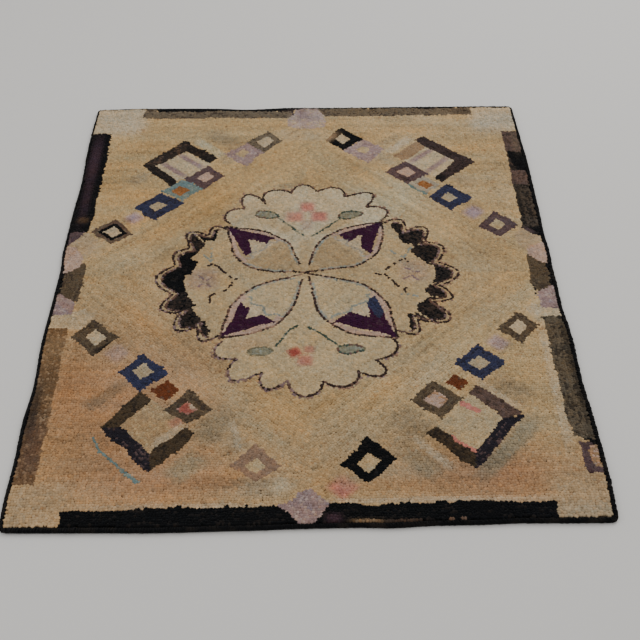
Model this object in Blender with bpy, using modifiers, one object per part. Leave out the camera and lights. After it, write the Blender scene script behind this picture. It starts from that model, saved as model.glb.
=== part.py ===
# A hooked wool rug lying flat: one ground of hooked pile on its foundation cloth, and a black
# whipped edge sewn round it in four runs. Metres, +Z up, +X across, +Y towards the far end.
# The origin is under the rug's middle, on the surface that it lies on.

import math

import bmesh
import bpy
from mathutils import Vector

RUG_WIDTH = 0.977  # over the whipped edges, where the rug is widest
RUG_LENGTH = 1.197
PILE_HEIGHT = 0.009  # foundation and hooked loops together
PILE_ROUND = 0.0025  # the outer loops lean over
PILE_WAVE = 0.0004  # loops pulled by hand stand a little high or low
WAVE_ACROSS = 0.310  # from crest to crest
WAVE_ALONG = 0.230
EDGE_HEIGHT = 0.0082
EDGE_ROUND = 0.0018
CORNER_RADIUS = 0.010
PIECE_GAP = 0.0003
STATION_STEP = 0.026  # between the sections that shape each side
CORNER_STEPS = (0.0, 0.004, 0.009)  # closer sections at each corner
ROUND_SEGMENTS = 2

PILE_COLOUR = (0.36, 0.25, 0.13)
EDGE_COLOUR = (0.012, 0.012, 0.014)
WOOL_ROUGHNESS = 0.95

# Each side is uneven, so a row gives one place on it, in millimetres: how far along the side
# from its middle, how far the edge falls short of the rug's widest line, and how wide the
# whipped edge is.
COLUMNS = {"along": 0, "short_by": 1, "edge_width": 2}
LEFT_ROWS = (
    (-583, 1.0, 8.0),
    (-534, 0.0, 8.0),
    (-454, 2.0, 8.0),
    (-374, 0.0, 8.0),
    (-294, 5.0, 7.5),
    (-174, 0.5, 8.0),
    (-54, 3.0, 8.5),
    (27, 4.5, 7.5),
    (67, 0.5, 7.0),
    (187, 2.0, 7.0),
    (307, 5.5, 6.0),
    (427, 2.5, 5.5),
    (507, 2.5, 5.5),
    (583, 5.5, 5.0),
)
RIGHT_ROWS = (
    (-573, 3.5, 9.0),
    (-493, 0.5, 9.0),
    (-374, 2.0, 8.5),
    (-293, 5.0, 9.0),
    (-174, 2.5, 9.0),
    (-94, 7.0, 8.5),
    (-14, 5.0, 10.0),
    (27, 5.5, 10.0),
    (67, 2.5, 9.0),
    (107, 5.0, 9.0),
    (227, 2.0, 10.0),
    (387, 0.0, 9.0),
    (467, 2.0, 8.0),
    (580, 4.0, 7.0),
)
NEAR_ROWS = (
    (-470, 3.0, 9.0),
    (-398, 2.0, 9.0),
    (-238, 0.0, 9.0),
    (-118, 2.0, 9.0),
    (1, 5.0, 8.0),
    (81, 6.0, 8.0),
    (121, 3.5, 9.0),
    (201, 8.0, 8.0),
    (281, 8.5, 8.0),
    (321, 11.0, 8.0),
    (401, 10.0, 8.0),
    (460, 9.5, 9.0),
)
FAR_ROWS = (
    (-460, 4.0, 4.5),
    (-398, 1.0, 4.5),
    (-278, 1.0, 5.0),
    (-198, 2.5, 6.0),
    (-148, 7.0, 7.0),
    (-118, 7.0, 7.0),
    (-78, 3.5, 6.0),
    (-38, 1.0, 5.0),
    (62, 2.5, 5.0),
    (202, 1.0, 6.0),
    (402, 0.0, 6.0),
    (460, 1.0, 6.0),
)

# A side runs along one axis and faces out along another. It meets one side at its low end and
# one at its high end, and it lies towards the low end or the high end of those two.
LOW, HIGH = -1.0, 1.0
ACROSS, AWAY = Vector((1, 0, 0)), Vector((0, 1, 0))
SIDES = {
    "left": {"rows": LEFT_ROWS, "along": AWAY, "out": -ACROSS, "meets": ("near", "far"), "lies": LOW},
    "right": {"rows": RIGHT_ROWS, "along": AWAY, "out": ACROSS, "meets": ("near", "far"), "lies": HIGH},
    "near": {"rows": NEAR_ROWS, "along": ACROSS, "out": -AWAY, "meets": ("left", "right"), "lies": LOW},
    "far": {"rows": FAR_ROWS, "along": ACROSS, "out": AWAY, "meets": ("left", "right"), "lies": HIGH},
}


def clear_scene():
    for item in list(bpy.data.objects):
        bpy.data.objects.remove(item, do_unlink=True)


def read_rows(rows, column, along):
    """One column's value in metres at a place along the side, eased from row to row."""
    place = along * 1000
    picked = COLUMNS[column]
    if place <= rows[0][0]:
        return rows[0][picked] / 1000
    for low, high in zip(rows, rows[1:]):
        if place <= high[0]:
            share = (place - low[0]) / (high[0] - low[0])
            eased = share * share * (3 - 2 * share)
            return (low[picked] + (high[picked] - low[picked]) * eased) / 1000
    return rows[-1][picked] / 1000


def half_size(side):
    return (RUG_WIDTH if side in ("left", "right") else RUG_LENGTH) / 2


def edge_out(side, along):
    return half_size(side) - read_rows(SIDES[side]["rows"], "short_by", along)


def pile_out(side, along):
    return edge_out(side, along) - read_rows(SIDES[side]["rows"], "edge_width", along)


def corner_drop(to_corner):
    """How far the rounded corner falls back from the side, at a distance from the corner."""
    if to_corner >= CORNER_RADIUS:
        return 0.0
    rest = CORNER_RADIUS - to_corner
    return CORNER_RADIUS - math.sqrt(CORNER_RADIUS**2 - rest**2)


def section_shares(length):
    """Where the sections stand on a line, from 0 to 1, closer together at both corners."""
    ends = [step / length for step in CORNER_STEPS]
    count = round(length / STATION_STEP)
    middle = [step / count for step in range(1, count)]
    return ends + middle + [1 - share for share in reversed(ends)]


def corners(side, line_out):
    """How far along the side its two corners are, on its outer edge or on the pile's border."""
    low, high = SIDES[side]["meets"]
    lies = SIDES[side]["lies"]
    return -line_out(low, lies), line_out(high, lies)


def side_line(side, low_end, high_end, out_at):
    """The points of a line along a side, between its two ends."""
    shares = section_shares(2 * half_size(SIDES[side]["meets"][0]))
    places = [low_end + (high_end - low_end) * share for share in shares]
    return [SIDES[side]["along"] * along + SIDES[side]["out"] * out_at(along) for along in places]


def pile_line(side):
    """The pile's own border on one side, clear of the whipped edge."""
    low, high = corners(side, pile_out)
    return side_line(side, low + PIECE_GAP, high - PIECE_GAP, lambda along: pile_out(side, along) - PIECE_GAP)


def new_grid(across, along):
    """A flat grid and its points by column and row."""
    mesh = bmesh.new()
    bmesh.ops.create_grid(mesh, x_segments=across, y_segments=along, size=0.5)
    points = {}
    for vert in mesh.verts:
        column = round((vert.co.x + 0.5) * across)
        row = round((vert.co.y + 0.5) * along)
        points[column, row] = vert
    return mesh, points


def raise_grid(mesh, height):
    """Give the flat grid its height, and return the points of its top."""
    raised = bmesh.ops.extrude_face_region(mesh, geom=mesh.faces[:])["geom"]
    top = [item for item in raised if isinstance(item, bmesh.types.BMVert)]
    bmesh.ops.translate(mesh, verts=top, vec=(0, 0, height))
    bmesh.ops.recalc_face_normals(mesh, faces=mesh.faces[:])
    return top


def weigh_edges(mesh, is_rounded):
    layer = mesh.edges.layers.float.new("bevel_weight_edge")
    for edge in mesh.edges:
        edge[layer] = 1.0 if is_rounded(edge) else 0.0


def add_wool(name, mesh, colour, round_width, collection):
    """Make the object, with its own wool material and its weighted edges rounded."""
    data = bpy.data.meshes.new(name)
    mesh.to_mesh(data)
    mesh.free()
    data.shade_smooth()
    data.set_sharp_from_angle(angle=math.radians(40))
    item = bpy.data.objects.new(name, data)
    collection.objects.link(item)
    bevel = item.modifiers.new("rounded", "BEVEL")
    bevel.limit_method = "WEIGHT"
    bevel.width = round_width
    bevel.segments = ROUND_SEGMENTS
    material = bpy.data.materials.new(name + "_wool")
    material.use_nodes = True
    shader = material.node_tree.nodes["Principled BSDF"]
    shader.inputs["Base Color"].default_value = (*colour, 1.0)
    shader.inputs["Roughness"].default_value = WOOL_ROUGHNESS
    shader.inputs["Metallic"].default_value = 0.0
    data.materials.append(material)
    return item


def pile_wave(place):
    """The slight rise and fall of the pile's top."""
    across = math.sin(2 * math.pi * (place.x / WAVE_ACROSS + 0.3 * place.y / WAVE_ALONG))
    along = math.sin(2 * math.pi * (place.y / WAVE_ALONG - 0.4 * place.x / WAVE_ACROSS))
    return PILE_WAVE * 0.5 * (across + along)


def make_ground(collection):
    """The hooked ground: a flat slab between four uneven borders, rounded at its top rim."""
    left, right = pile_line("left"), pile_line("right")
    near, far = pile_line("near"), pile_line("far")
    across, along = len(near) - 1, len(left) - 1
    across_shares = section_shares(RUG_WIDTH)
    along_shares = section_shares(RUG_LENGTH)
    mesh, points = new_grid(across, along)
    for (column, row), vert in points.items():
        u, v = across_shares[column], along_shares[row]
        sides = left[row].lerp(right[row], u)
        ends = near[column].lerp(far[column], v)
        corners = near[0].lerp(near[-1], u).lerp(far[0].lerp(far[-1], u), v)
        vert.co = sides + ends - corners
    for vert in raise_grid(mesh, PILE_HEIGHT):
        vert.co.z += pile_wave(vert.co)
    underside = [face for face in mesh.faces if face.normal.z < -0.5]
    bmesh.ops.dissolve_faces(mesh, faces=underside, use_verts=False)
    weigh_edges(mesh, is_top_rim)
    return add_wool("rug_ground", mesh, PILE_COLOUR, PILE_ROUND, collection)


def is_top_rim(edge):
    normals = [face.normal.z for face in edge.link_faces]
    return max(normals) > 0.5 > 0.1 > min(normals) > -0.5


def make_edge(side, collection):
    """One whipped run, mitred against its neighbours and rounded along its length."""
    mitre = PIECE_GAP / math.sqrt(2)
    round_back = CORNER_RADIUS * (1 - math.sqrt(0.5))
    inner_low, inner_high = corners(side, pile_out)
    outer_low, outer_high = corners(side, edge_out)

    def outer_out(along):
        to_corner = min(along - outer_low, outer_high - along)
        return edge_out(side, along) - corner_drop(to_corner)

    inner = side_line(side, inner_low + mitre, inner_high - mitre, lambda along: pile_out(side, along))
    outer = side_line(side, outer_low + round_back + mitre, outer_high - round_back - mitre, outer_out)
    mesh, points = new_grid(len(inner) - 1, 1)
    for (column, row), vert in points.items():
        vert.co = (outer if row else inner)[column]
    raise_grid(mesh, EDGE_HEIGHT)
    ends = (inner[0], outer[0], inner[-1], outer[-1])
    weigh_edges(mesh, lambda edge: is_long_edge(edge, ends))
    return add_wool("binding_" + side, mesh, EDGE_COLOUR, EDGE_ROUND, collection)


def is_long_edge(edge, ends):
    """True for the four edges that run the length of a run, and not for its mitred ends."""
    turn = edge.calc_face_angle(0.0)
    at_end = [any((vert.co.xy - end.xy).length < PIECE_GAP / 2 for end in ends) for vert in edge.verts]
    return turn > math.radians(60) and not all(at_end)


def build():
    clear_scene()
    collection = bpy.data.collections.new("hooked_rug")
    bpy.context.scene.collection.children.link(collection)
    make_ground(collection)
    for side in SIDES:
        make_edge(side, collection)


build()
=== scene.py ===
import math
import bpy
import bmesh
import numpy as np
from mathutils import Matrix, Vector, kdtree


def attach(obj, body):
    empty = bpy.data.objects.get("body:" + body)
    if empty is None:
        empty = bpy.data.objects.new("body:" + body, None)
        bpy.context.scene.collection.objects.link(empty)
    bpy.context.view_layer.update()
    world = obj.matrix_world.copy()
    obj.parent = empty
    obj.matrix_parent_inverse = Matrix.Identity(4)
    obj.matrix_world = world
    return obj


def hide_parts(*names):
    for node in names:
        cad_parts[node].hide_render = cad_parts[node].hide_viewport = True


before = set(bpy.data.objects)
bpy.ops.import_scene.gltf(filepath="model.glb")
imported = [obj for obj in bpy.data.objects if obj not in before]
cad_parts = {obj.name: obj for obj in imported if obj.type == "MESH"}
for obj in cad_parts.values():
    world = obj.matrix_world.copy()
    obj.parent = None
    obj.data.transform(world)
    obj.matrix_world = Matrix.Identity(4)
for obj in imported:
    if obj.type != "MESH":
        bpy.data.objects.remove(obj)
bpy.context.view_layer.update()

luck = np.random.default_rng(7)          # the one seed, so each run hooks the same rug


# The stage: camera where the photograph was taken from, a pale floor and soft light.

view = {
    "place": (-0.00695, -1.61165, 1.41978),
    "right": (0.99986, -0.01667, 0.00306),
    "up": (0.00926, 0.68881, 0.72488),
    "lens": 61.82,
    "floor": (0.80, 0.79, 0.775),
    "room": (1.0, 0.985, 0.96),
    "roomLight": 0.62,
    "windowLight": 42.0,
    "fillLight": 14.0,
}


def addCamera():
    lens = bpy.data.cameras.new("photoCamera")
    camera = bpy.data.objects.new("photoCamera", lens)
    bpy.context.scene.collection.objects.link(camera)
    right = Vector(view["right"]).normalized()
    up = Vector(view["up"]).normalized()
    turn = Matrix((right, up, right.cross(up))).transposed()
    camera.matrix_world = Matrix.Translation(view["place"]) @ turn.to_4x4()
    lens.sensor_width = 36
    lens.lens = view["lens"]
    lens.clip_end = 30
    bpy.context.scene.camera = camera


def addLamp(name, place, size, power, colour):
    lamp = bpy.data.lights.new(name, "AREA")
    lamp.shape = "SQUARE"
    lamp.size = size
    lamp.energy = power
    lamp.color = colour
    holder = bpy.data.objects.new(name, lamp)
    holder.location = place
    holder.rotation_mode = "QUATERNION"
    holder.rotation_quaternion = (-Vector(place)).to_track_quat("-Z", "Y")
    bpy.context.scene.collection.objects.link(holder)


def addRoom():
    room = bpy.data.worlds.new("studio")
    room.use_nodes = True
    sky = room.node_tree.nodes["Background"]
    sky.inputs["Color"].default_value = (*view["room"], 1)
    sky.inputs["Strength"].default_value = view["roomLight"]
    bpy.context.scene.world = room
    addLamp("window", (1.6, 1.9, 2.6), 2.2, view["windowLight"], (1.0, 0.985, 0.96))
    addLamp("fill", (-2.2, -1.2, 2.4), 2.6, view["fillLight"], (0.97, 0.985, 1.0))


# Shader maths as plain expressions: a wire is one output socket of a node tree.

class Wire:
    def __init__(self, tree, socket=None):
        self.tree = tree
        self.socket = socket

    def node(self, kind, settings=None, inputs=None, output=0):
        made = self.tree.nodes.new(kind)
        for name, value in (settings or {}).items():
            setattr(made, name, value)
        for name, value in (inputs or {}).items():
            if isinstance(value, Wire):
                self.tree.links.new(value.socket, made.inputs[name])
            else:
                made.inputs[name].default_value = value
        return Wire(self.tree, made.outputs[output])

    def maths(self, kind, first, second):
        return self.node("ShaderNodeMath", {"operation": kind}, {0: first, 1: second})

    def __add__(self, other):
        return self.maths("ADD", self, other)

    def __radd__(self, other):
        return self.maths("ADD", other, self)

    def __sub__(self, other):
        return self.maths("SUBTRACT", self, other)

    def __rsub__(self, other):
        return self.maths("SUBTRACT", other, self)

    def __mul__(self, other):
        return self.maths("MULTIPLY", self, other)

    def __rmul__(self, other):
        return self.maths("MULTIPLY", other, self)

    def blend(self, first, second, share, how="MIX"):
        return self.node("ShaderNodeMix", {"data_type": "RGBA", "blend_type": how},
                         {0: share, 6: first, 7: second}, output=2)

    def noise(self, scale, detail):
        return self.node("ShaderNodeTexNoise", inputs={"Vector": self, "Scale": scale, "Detail": detail})

    def bump(self, strength, distance):
        return self.node("ShaderNodeBump",
                         inputs={"Strength": strength, "Distance": distance, "Height": self})


def startFinish(name, sheen, sheenRough):
    made = bpy.data.materials.new(name)
    made.use_nodes = True
    coat = made.node_tree.nodes["Principled BSDF"]
    coat.inputs["Sheen Weight"].default_value = sheen
    coat.inputs["Sheen Roughness"].default_value = sheenRough
    coat.inputs["Specular IOR Level"].default_value = 0.08
    return made, coat, Wire(made.node_tree).node("ShaderNodeTexCoord", output=3)


def finishWith(coat, colour, rough, bump):
    for name, wire in (("Base Color", colour), ("Roughness", rough), ("Normal", bump)):
        wire.tree.links.new(wire.socket, coat.inputs[name])


wool = {"fibre": 900.0, "fibreDepth": 0.35, "shade": 0.16, "bump": 0.0004, "rough": 0.94, "shine": 0.06,
        "worn": 60.0, "wear": 0.08}


def woolFinish():
    made, coat, place = startFinish("loopedWool", 0.04, 0.5)
    yarn = place.node("ShaderNodeAttribute", {"attribute_name": "yarn"})
    strand = place.noise(wool["fibre"], 3.0)
    worn = place.noise(wool["worn"], 2.0)
    level = 1.0 - wool["shade"] * 0.5 + strand * wool["shade"] + (worn - 0.5) * wool["wear"]
    grey = place.node("ShaderNodeCombineColor", inputs={0: level, 1: level, 2: level})
    finishWith(coat, place.blend(yarn, grey, 1.0, "MULTIPLY"), wool["rough"] - strand * wool["shine"],
               strand.bump(wool["fibreDepth"], wool["bump"]))
    return made


edgeWool = {"dark": (0.0045, 0.0048, 0.0056, 1), "worn": (0.016, 0.013, 0.011, 1), "twist": 520.0 / 6.2,
            "bend": 1.5, "wornScale": 38.0, "wornFrom": 0.52, "wornTo": 0.72, "rough": 0.9, "shine": 0.08,
            "depth": 0.4, "bump": 0.0005}


def edgeFinish():
    made, coat, place = startFinish("edgeYarn", 0.03, 0.5)
    twist = place.node("ShaderNodeTexWave", {"bands_direction": "DIAGONAL"},
                       {"Vector": place, "Scale": edgeWool["twist"], "Distortion": edgeWool["bend"]})
    worn = place.noise(edgeWool["wornScale"], 3.0)
    mask = place.node("ShaderNodeMapRange", inputs={0: worn, 1: edgeWool["wornFrom"], 2: edgeWool["wornTo"]})
    finishWith(coat, place.blend(edgeWool["dark"], edgeWool["worn"], mask),
               edgeWool["rough"] - twist * edgeWool["shine"], twist.bump(edgeWool["depth"], edgeWool["bump"]))
    return made


jute = {"thread": (0.36, 0.25, 0.14, 1), "shadow": (0.16, 0.10, 0.05, 1), "pitch": 0.0021, "fibre": 420.0,
        "rough": 0.95, "shine": 0.08, "depth": 0.6, "bump": 0.0006}


def juteFinish():
    made, coat, place = startFinish("wovenJute", 0.05, 0.6)
    scale = math.pi / jute["pitch"] / 50
    warp, weft = (place.node("ShaderNodeTexWave", {"bands_direction": way}, {"Vector": place, "Scale": scale})
                  for way in "XY")
    weave = (warp + weft) * 0.4 + place.noise(jute["fibre"], 4.0) * 0.2
    finishWith(coat, place.blend(jute["shadow"], jute["thread"], weave),
               jute["rough"] - weave * jute["shine"], weave.bump(jute["depth"], jute["bump"]))
    return made


def addFloor():
    bpy.ops.object.select_all(action="DESELECT")
    bpy.ops.mesh.primitive_plane_add(size=14)
    floor = bpy.context.object
    floor.name = "studioFloor"
    made, coat, _ = startFinish("paleFloor", 0.0, 0.5)
    coat.inputs["Base Color"].default_value = (*view["floor"], 1)
    coat.inputs["Roughness"].default_value = 0.85
    floor.data.materials.append(made)


addCamera()
addRoom()
addFloor()
print("stage set")


# The yarns by name: red, green and blue as they look in the photograph's light, tuned until
# the render's areas had the photograph's average colours.

yarns = {
    "gold": (161, 137, 100), "paleGold": (166, 149, 120), "pinkGold": (147, 114, 86),
    "ochre": (153, 125, 84), "greyGold": (148, 133, 108), "tan": (140, 112, 79), "cream": (166, 153, 131),
    "warmCream": (154, 132, 103), "brightCream": (170, 156, 129), "oatmeal": (149, 128, 97),
    "oat": (164, 146, 118), "petalOat": (163, 144, 112), "greyTeal": (117, 112, 95),
    "greySage": (132, 116, 92), "softLilac": (144, 126, 130), "purple": (48, 17, 41), "navy": (44, 46, 67),
    "teal": (92, 109, 107), "sky": (122, 124, 114), "greyGreen": (137, 122, 99), "leaf": (116, 112, 92),
    "stem": (54, 66, 58), "moss": (98, 92, 72), "orange": (125, 81, 45), "rust": (90, 48, 27),
    "red": (136, 66, 56), "rose": (166, 106, 94), "palePink": (158, 133, 117), "pink": (150, 99, 86),
    "lilac": (130, 109, 106), "paleLilac": (152, 133, 124), "mauve": (80, 64, 63), "plum": (62, 44, 52),
    "mauveGrey": (112, 93, 92), "paleMauve": (122, 98, 80), "olive": (82, 69, 53),
    "greyOlive": (98, 86, 70), "brown": (84, 66, 54), "darkBrown": (52, 42, 36), "black": (8, 9, 11),
    "brownBlack": (30, 26, 24), "outline": (44, 33, 30), "outlineSoft": (84, 64, 56),
    "outlinePale": (126, 101, 84), "bluePale": (142, 132, 116), "plumBrown": (56, 44, 42),
    "darkOlive": (62, 51, 38), "mauveBrown": (84, 67, 60), "tanBrown": (133, 109, 83),
    "tanGold": (158, 137, 104), "reedGold": (166, 157, 131), "sandGold": (157, 138, 107),
    "rustGold": (142, 103, 70), "umber": (94, 72, 50), "khaki": (85, 75, 61), "wheat": (143, 119, 89),
    "barkBrown": (66, 57, 48), "blackPlum": (30, 27, 33), "blackBrown": (42, 36, 32),
}
dyeing = {"gain": 1.42, "spread": 0.11, "hue": 0.032, "streak": 0.11, "cloud": 0.065, "blush": 0.04,
          "fleck": 2.05, "heather": 0.75, "heatherEdge": 5, "calm": 0.7, "warmth": 0.012}
# Heathered yarns: the yarn that is mixed in, and how much of it.
heather = {
    "black": ("brownBlack", 0.12), "brownBlack": ("darkBrown", 0.28), "darkBrown": ("brownBlack", 0.35),
    "blackBrown": ("brown", 0.22), "barkBrown": ("black", 0.38), "blackPlum": ("mauve", 0.16),
    "greyOlive": ("darkBrown", 0.20), "khaki": ("brownBlack", 0.24), "umber": ("tanBrown", 0.22),
    "olive": ("darkBrown", 0.25), "darkOlive": ("brownBlack", 0.28), "mauveBrown": ("darkBrown", 0.25),
    "plumBrown": ("brownBlack", 0.25), "mauve": ("plum", 0.18), "navy": ("blackPlum", 0.15),
    "leaf": ("sky", 0.3), "brown": ("greyOlive", 0.3), "lilac": ("paleLilac", 0.3),
    "paleLilac": ("paleGold", 0.22), "rust": ("brown", 0.06), "teal": ("sky", 0.25),
    "wheat": ("tanGold", 0.3), "purple": ("plum", 0.08), "orange": ("tan", 0.15),
}


def linear(colour):
    part = np.asarray(colour, float) / 255
    return np.where(part < 0.04045, part / 12.92, ((part + 0.055) / 1.055) ** 2.4)


# The hooked cloth's own edge, read from the CAD ground's underside. From here on, the chart
# is in millimetres from its middle, x across and y towards the far end.

chartShift = np.array((1.5, 6.5))


def nodePoints(name):
    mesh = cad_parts[name].data
    flat = np.empty(len(mesh.vertices) * 3, np.float32)
    mesh.vertices.foreach_get("co", flat)
    return flat.reshape(-1, 3).astype(float) * 1000


def groundOutline():
    spots = nodePoints("rug_ground")
    low = np.unique(np.round(spots[spots[:, 2] < 0.1][:, :2], 2), axis=0)
    return low[np.argsort(np.arctan2(low[:, 1] / 590, low[:, 0] / 480))]


clothEdge = groundOutline() - chartShift


# Hooking. A row is a path. Loops go where the cloth is still free, so what is hooked first
# keeps its place, and the ground is hooked last, as a hooker works.

# All in millimetres. A loop keeps others out of its reach. Neat rows wobble less than loose ones.
pile = {"pitch": 4.74, "rows": 4.9, "reach": 3.42, "inset": 2.4, "sample": 0.8, "neat": 0.4, "loose": 0.75,
        "ragged": 1.8, "rim": 1.9}
cell = 0.5
halfAcross, halfAlong = 492, 606
taken = np.ones((int(halfAlong * 2 / cell), int(halfAcross * 2 / cell)), bool)
hooked = {"x": [], "y": [], "turn": [], "yarn": [], "firm": []}
# How far the pattern strays from its chart, in long waves and in short ones.
wander = {"slow": 1.7, "quick": 0.45, "slowWave": 31, "quickWave": 11, "most": 3.2}


def softNoise(u, v, seed):
    dice = np.random.default_rng(seed).normal(0, 1, (97, 89))
    u0, v0 = np.floor(u).astype(int), np.floor(v).astype(int)
    fu, fv = u - u0, v - v0
    fu, fv = fu * fu * (3 - 2 * fu), fv * fv * (3 - 2 * fv)
    corner = [[dice[(v0 + j) % 97, (u0 + i) % 89] for i in (0, 1)] for j in (0, 1)]
    near = corner[0][0] * (1 - fu) + corner[0][1] * fu
    far = corner[1][0] * (1 - fu) + corner[1][1] * fu
    return near * (1 - fv) + far * fv


def strayed(spots, back=False):
    slow, quick = (spots / wander["slowWave"]).T, (spots / wander["quickWave"]).T
    ways = [wander["slow"] * softNoise(*slow, seed) + wander["quick"] * softNoise(*quick, seed + 1)
            for seed in (21, 23)]
    drift = np.column_stack(ways).clip(-wander["most"], wander["most"])
    return spots - drift if back else spots + drift


def crossings(shape, level):
    ends = np.roll(shape, -1, axis=0)
    cut = (shape[:, 1] <= level) != (ends[:, 1] <= level)
    (x0, y0), (x1, y1) = shape[cut].T, ends[cut].T
    return np.sort(x0 + (level - y0) / (y1 - y0) * (x1 - x0))


def insideShape(x, y, shape):
    ends = np.roll(shape, -1, axis=0)
    inside = np.zeros(len(x), bool)
    for (x0, y0), (x1, y1) in zip(shape, ends):
        if y0 != y1:
            hit = ((y0 <= y) != (y1 <= y)) & (x < x0 + (y - y0) / (y1 - y0) * (x1 - x0))
            inside ^= hit
    return inside


def openCloth(shape):
    for row in range(taken.shape[0]):
        level = (row + 0.5) * cell - halfAlong
        marks = (crossings(shape, level) + halfAcross) / cell
        for start, stop in zip(marks[::2], marks[1::2]):
            taken[row, int(start):int(stop)] = False


def closeEdge(shape, reach):
    stamp(evenly(shape, 1.0, True)[0], reach)


def cellsOf(spots):
    row = ((spots[:, 1] + halfAlong) / cell).astype(int).clip(0, taken.shape[0] - 1)
    column = ((spots[:, 0] + halfAcross) / cell).astype(int).clip(0, taken.shape[1] - 1)
    return row, column


def stamp(spots, reach):
    span = int(reach / cell)
    down, across = np.mgrid[-span:span + 1, -span:span + 1]
    keep = down ** 2 + across ** 2 <= (reach / cell) ** 2
    row, column = cellsOf(spots)
    rows = (row[:, None] + down[keep][None]).clip(0, taken.shape[0] - 1)
    columns = (column[:, None] + across[keep][None]).clip(0, taken.shape[1] - 1)
    taken[rows, columns] = True


def evenly(path, step, closed=False):
    path = np.asarray(path, float)
    if closed:
        path = np.vstack([path, path[:1]])
    leg = np.hypot(*np.diff(path, axis=0).T)
    along = np.concatenate([[0], np.cumsum(leg)])
    count = max(2, int(round(along[-1] / step)) + 1)
    marks = np.linspace(0, along[-1], count)
    spots = np.column_stack([np.interp(marks, along, path[:, side]) for side in (0, 1)])
    slope = np.gradient(spots, axis=0)
    heading = np.arctan2(slope[:, 1], slope[:, 0])
    if closed:
        return spots[:-1], heading[:-1], along[-1]
    return spots, heading, along[-1]


def smooth(points, closed=False, steps=8):
    spots = np.asarray(points, float)
    before = np.roll(spots, 1, axis=0)
    after = np.roll(spots, -1, axis=0)
    later = np.roll(spots, -2, axis=0)
    if not closed:
        before[0] = spots[0]
        after[-1] = spots[-1]
        later[-1] = later[-2] = spots[-1]
    t = np.arange(steps)[:, None, None] / steps
    curve = 0.5 * (2 * spots + (after - before) * t + (2 * before - 5 * spots + 4 * after - later) * t ** 2
                   + (3 * spots - before - 3 * after + later) * t ** 3)
    run = curve.transpose(1, 0, 2).reshape(-1, 2)
    return run if closed else np.vstack([run[:-steps], spots[-1:]])


def addLoops(spots, heading, yarn, firm):
    names = [yarn] if isinstance(yarn, str) else list(yarn)
    wobble = luck.normal(0, pile["neat"] if firm > 0.5 else pile["loose"], spots.shape)
    placed = spots + wobble
    hooked["x"].extend(placed[:, 0])
    hooked["y"].extend(placed[:, 1])
    hooked["turn"].extend(heading)
    hooked["yarn"].extend(names[i] for i in luck.integers(0, len(names), len(spots)))
    hooked["firm"].extend([firm] * len(spots))
    stamp(placed, pile["reach"])


def hookRow(path, yarn, closed=False, firm=0.85):
    pitch, step = pile["pitch"], pile["sample"]
    spots, heading, length = evenly(path, step, closed)
    if firm > 0.5:
        spots = strayed(spots)
    row, column = cellsOf(spots)
    free = ~taken[row, column]
    if closed and free.all():
        number = max(3, int(round(length / pitch)))
        pick = (np.arange(number) * len(spots) / number).astype(int)
        addLoops(spots[pick], heading[pick], yarn, firm)
        return
    if closed:
        first = int(np.argmin(free))
        free, spots, heading = np.roll(free, -first), np.roll(spots, -first, axis=0), np.roll(heading, -first)
    marks = np.flatnonzero(np.diff(np.concatenate([[0], free.astype(int), [0]])))
    picks = []
    for start, stop in zip(marks[::2], marks[1::2]):
        run = (stop - 1 - start) * step
        number = int(run / pitch + 0.22) + 1
        gap = min(run / (number - 1), pitch * 1.12) if number > 1 else 0
        middle = (start + stop - 1) / 2 + (luck.uniform(-0.5, 0.5) if number == 1 else 0)
        picks.append(np.rint(middle + (np.arange(number) - (number - 1) / 2) * gap / step).astype(int))
    if picks:
        pick = np.concatenate(picks).clip(0, len(spots) - 1)
        addLoops(spots[pick], heading[pick], yarn, firm)


def hookAcross(shape, yarn, lean=0.0, firm=0.8, wave=0.0):
    turn = math.radians(lean)
    spin = np.array(((math.cos(turn), math.sin(turn)), (-math.sin(turn), math.cos(turn))))
    shape = np.asarray(shape, float) @ spin.T
    low, high = shape[:, 1].min(), shape[:, 1].max()
    number = max(1, int(round((high - low) / pile["rows"])))
    for row in range(number):
        level = low + (row + 0.5) * (high - low) / number
        ends = crossings(shape, level)
        for start, stop in zip(ends[::2], ends[1::2]):
            if stop - start < 2:
                continue
            ragged = luck.uniform(-pile["ragged"], pile["ragged"], 2) * min(1.0, (stop - start) / 30)
            start, stop = start + ragged[0], stop + ragged[1]
            inset = min(pile["inset"] * 0.8, (stop - start) * 0.45)
            across = np.arange(start + inset, stop - inset + 0.01, 2.0)
            path = np.column_stack([across, np.full(len(across), level)])
            if wave:
                path[:, 1] += (wave * np.sin(across / 61 + row * 0.06)
                               + wave * 0.6 * np.sin(across / 23 + row * 0.11))
            if len(path) == 1:
                path = np.vstack([path, path + (0.5, 0)])
            hookRow(path @ spin, yarn, firm=firm)


def atShares(line, shares, step):
    fine = evenly(line, step)[0]
    return fine[(shares * (len(fine) - 1)).round().astype(int)]


def hookBetween(outer, inner, yarn, rows=None):
    shares = np.linspace(0, 1, 60)
    outer, inner = atShares(outer, shares, 2.0), atShares(inner, shares, 2.0)
    depth = np.hypot(*(outer - inner).T).mean()
    number = rows or max(1, int(round(depth / pile["rows"])))
    for row in range(number):
        at = (row + 0.5) / number
        hookRow(outer * (1 - at) + inner * at, yarn, firm=0.8)


def fillShape(shape, yarn, firm=0.8):
    shape = np.asarray(shape, float)
    (left, low), (right, high) = shape.min(axis=0), shape.max(axis=0)
    xs, ys = np.meshgrid(np.arange(left - 3, right + 3, cell), np.arange(low - 3, high + 3, cell))
    spots = np.column_stack([xs.ravel(), ys.ravel()])
    rows, columns = cellsOf(spots)
    charted = strayed(spots, back=True) if firm > 0.5 else spots
    keep = ~taken[rows, columns] & insideShape(charted[:, 0], charted[:, 1], shape)
    for spot, row, column in zip(spots[keep], rows[keep], columns[keep]):
        if not taken[row, column]:
            addLoops(spot[None], [0.0], yarn, firm)


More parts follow.
